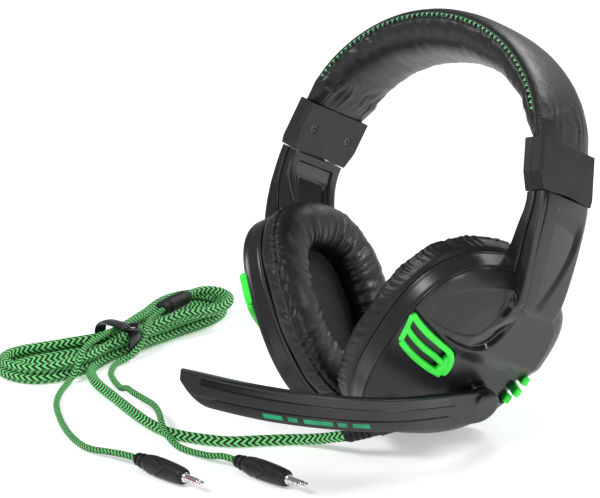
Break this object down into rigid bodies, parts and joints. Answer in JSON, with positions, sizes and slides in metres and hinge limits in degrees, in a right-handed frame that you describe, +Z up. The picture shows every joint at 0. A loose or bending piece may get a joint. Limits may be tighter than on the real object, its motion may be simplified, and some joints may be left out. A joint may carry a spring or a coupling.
{
  "type": "gaming headset",
  "caption": "Over-ear wired headset with padded headband, extending sliders, tilted cups, swing-up microphone boom and a tied braided lead with two jack plugs.",
  "frame": {"origin": "on the surface it stands on, under the middle of the headset's box with its boom and without its lead", "axes": "+X towards the wearer's left, the side with the microphone; -Y towards the front; +Z up. The headset leans 26 degrees backwards on its cups"},
  "size_m": [0.3256, 0.2396, 0.208],
  "materials": {
    "arm_gloss": "gloss",
    "inner_satin": "satin",
    "shell_satin": "satin",
    "driver_plastic": "matte",
    "magnet_steel": "brushed",
    "diaphragm_film": "satin",
    "speaker_cloth": "woven",
    "pad_leather": "soft grain",
    "band_leather": "soft grain",
    "green_plastic": "satin",
    "screw_steel": "blackened",
    "stem_plastic": "satin",
    "housing_satin": "satin",
    "spring_steel": "brushed",
    "nylon": "satin",
    "board": "satin",
    "soft_rubber": "matte",
    "braid": "braided",
    "tie_black": "satin",
    "plug_black": "matte",
    "jack_metal": "polished",
    "ring_red": "satin",
    "ring_grey": "satin",
    "boom_satin": "satin",
    "capsule_metal": "satin"
  },
  "bodies": {
    "left_cup": {"left_arm_outer": "arm_gloss", "left_arm_inner": "inner_satin", "left_cup_shell": "shell_satin", "left_baffle": "inner_satin", "left_driver_frame": "driver_plastic", "left_driver_magnet": "magnet_steel", "left_diaphragm": "diaphragm_film", "left_speaker_cloth": "speaker_cloth", "left_ear_cushion": "pad_leather", "left_front_vent": "green_plastic", "left_rear_vent": "green_plastic", "left_cup_screws": "screw_steel", "left_stem": "stem_plastic", "mic_bracket": "arm_gloss", "mic_pivot_pin": "spring_steel", "pivot_washer": "nylon", "circuit_board": "board", "strain_relief": "soft_rubber", "cord_main": "braid", "cord_hank": "braid", "cord_tie": "tie_black", "cord_splitter": "plug_black", "headphone_cord": "braid", "headphone_plug_body": "plug_black", "headphone_plug_pin": "jack_metal", "headphone_plug_rings": "ring_red", "mic_cord": "braid", "mic_plug_body": "plug_black", "mic_plug_pin": "jack_metal", "mic_plug_rings": "ring_grey"},
    "headband": {"headband_cushion": "band_leather", "headband_spring": "spring_steel", "left_housing_outer": "housing_satin", "left_housing_inner": "inner_satin", "left_housing_screws": "screw_steel", "left_detent_spring": "spring_steel", "right_housing_outer": "housing_satin", "right_housing_inner": "inner_satin", "right_housing_screws": "screw_steel", "right_detent_spring": "spring_steel"},
    "right_cup": {"right_arm_outer": "arm_gloss", "right_arm_inner": "inner_satin", "right_cup_shell": "shell_satin", "right_baffle": "inner_satin", "right_driver_frame": "driver_plastic", "right_driver_magnet": "magnet_steel", "right_diaphragm": "diaphragm_film", "right_speaker_cloth": "speaker_cloth", "right_ear_cushion": "pad_leather", "right_front_vent": "green_plastic", "right_rear_vent": "green_plastic", "right_cup_screws": "screw_steel", "right_stem": "stem_plastic"},
    "mic_boom": {"boom_outer": "boom_satin", "boom_inner": "boom_satin", "mic_capsule": "capsule_metal"}
  },
  "joints": [
    {"name": "left_slider", "type": "slide", "parent": "left_cup", "child": "headband", "axis": [-0.2385, 0.4257, 0.8728], "range_m": [0, 0.024]},
    {"name": "right_slider", "type": "slide", "parent": "headband", "child": "right_cup", "axis": [-0.2385, -0.4257, -0.8728], "range_m": [0, 0.024]},
    {"name": "boom_pivot", "type": "hinge", "parent": "left_cup", "child": "mic_boom", "pos_m": [0.0615, 0.02457, 0.02218], "axis": [-0.8526, 0.229, 0.4696], "range_deg": [0, 65]}
  ]
}
